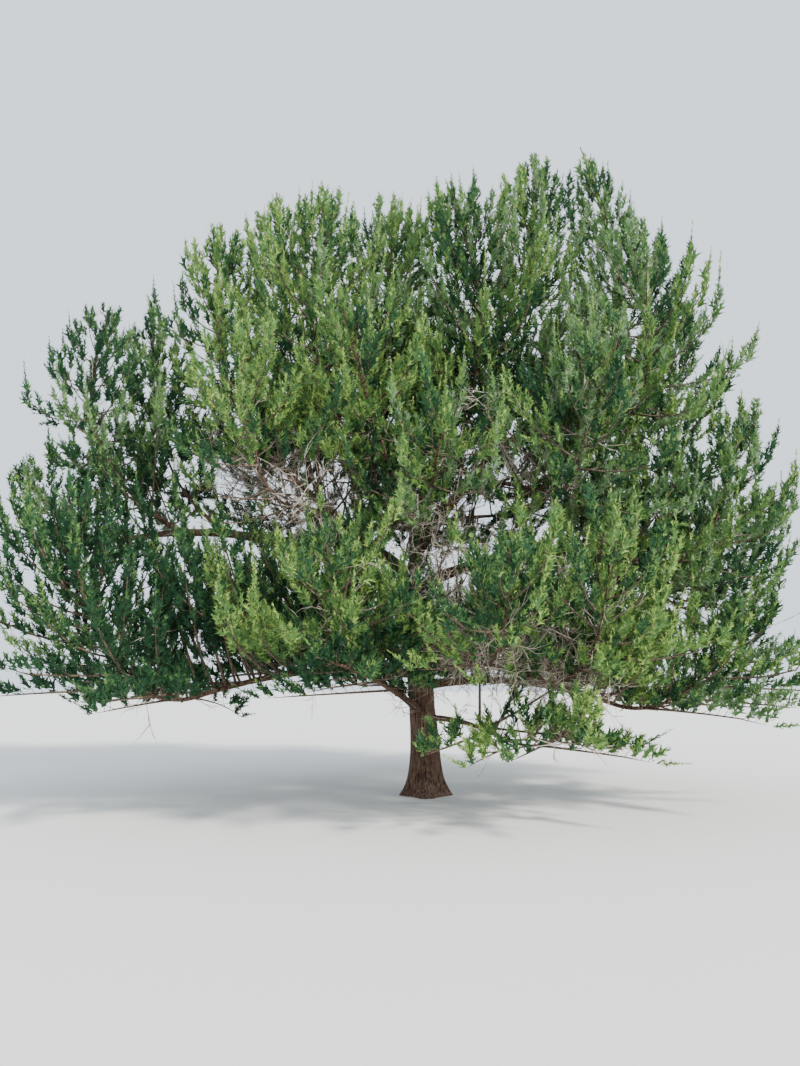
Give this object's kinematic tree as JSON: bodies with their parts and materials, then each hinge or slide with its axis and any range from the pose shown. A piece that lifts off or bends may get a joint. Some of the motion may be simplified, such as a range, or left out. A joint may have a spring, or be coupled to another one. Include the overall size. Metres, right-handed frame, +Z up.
{
  "type": "southern red cedar tree",
  "caption": "Full-grown evergreen red cedar with a short leaning trunk that forks low, arching boughs and a broad rounded crown of upright pointed plumes.",
  "frame": {"origin": "middle of the flat cut under the trunk, at ground level", "axes": "+Z up; +X to the right and +Y away as the tree is seen from its front, the side with the bright low foliage"},
  "size_m": [10.9917, 7.749, 9.33],
  "materials": {
    "bark": "dark reddish-brown bark that peels in long fibrous strips, matt",
    "foliage_deep": "deep bluish-green scale foliage in shade, matt",
    "foliage_green": "mid-green scale foliage, matt",
    "foliage_sunny": "yellow-green scale foliage in the sun, matt",
    "foliage_bright": "bright yellow-green young tips, matt",
    "foliage_dull": "dull grey-green scale foliage, matt"
  },
  "bodies": {
    "root": {"bough_back": "bark", "bough_back_left": "bark", "bough_back_low": "bark", "bough_back_low_left": "bark", "bough_back_low_right": "bark", "bough_back_right": "bark", "bough_crest_left": "bark", "bough_crest_right": "bark", "bough_front": "bark", "bough_front_left": "bark", "bough_front_low": "bark", "bough_front_right": "bark", "bough_left": "bark", "bough_left_high": "bark", "bough_left_inner": "bark", "bough_left_low": "bark", "bough_peak": "bark", "bough_peak_left": "bark", "bough_right": "bark", "bough_right_far": "bark", "bough_right_low": "bark", "bough_shoulder": "bark", "bough_shoulder_right": "bark", "bough_slope": "bark", "bough_top_left": "bark", "bough_upper_left": "bark", "bough_upper_right": "bark", "foliage_back_high": "foliage_green", "foliage_back_left": "foliage_deep", "foliage_back_low": "foliage_deep", "foliage_back_low_left": "foliage_deep", "foliage_back_low_right": "foliage_green", "foliage_back_middle": "foliage_green", "foliage_back_right": "foliage_green", "foliage_crest": "foliage_green", "foliage_crest_left": "foliage_sunny", "foliage_crest_right": "foliage_green", "foliage_front": "foliage_bright", "foliage_front_left": "foliage_bright", "foliage_front_low": "foliage_sunny", "foliage_front_low_left": "foliage_deep", "foliage_front_middle": "foliage_green", "foliage_front_right": "foliage_bright", "foliage_left_far": "foliage_deep", "foliage_left_high": "foliage_deep", "foliage_left_inner": "foliage_deep", "foliage_left_low": "foliage_deep", "foliage_peak_left": "foliage_dull", "foliage_peak_right": "foliage_dull", "foliage_right_far": "foliage_green", "foliage_right_high": "foliage_green", "foliage_right_low": "foliage_green", "foliage_shoulder": "foliage_sunny", "foliage_shoulder_right": "foliage_dull", "foliage_slope": "foliage_green", "foliage_top_left": "foliage_sunny", "foliage_upper_left": "foliage_sunny", "foliage_upper_middle": "foliage_sunny", "foliage_upper_right": "foliage_dull", "trunk": "bark"}
  },
  "joints": []
}
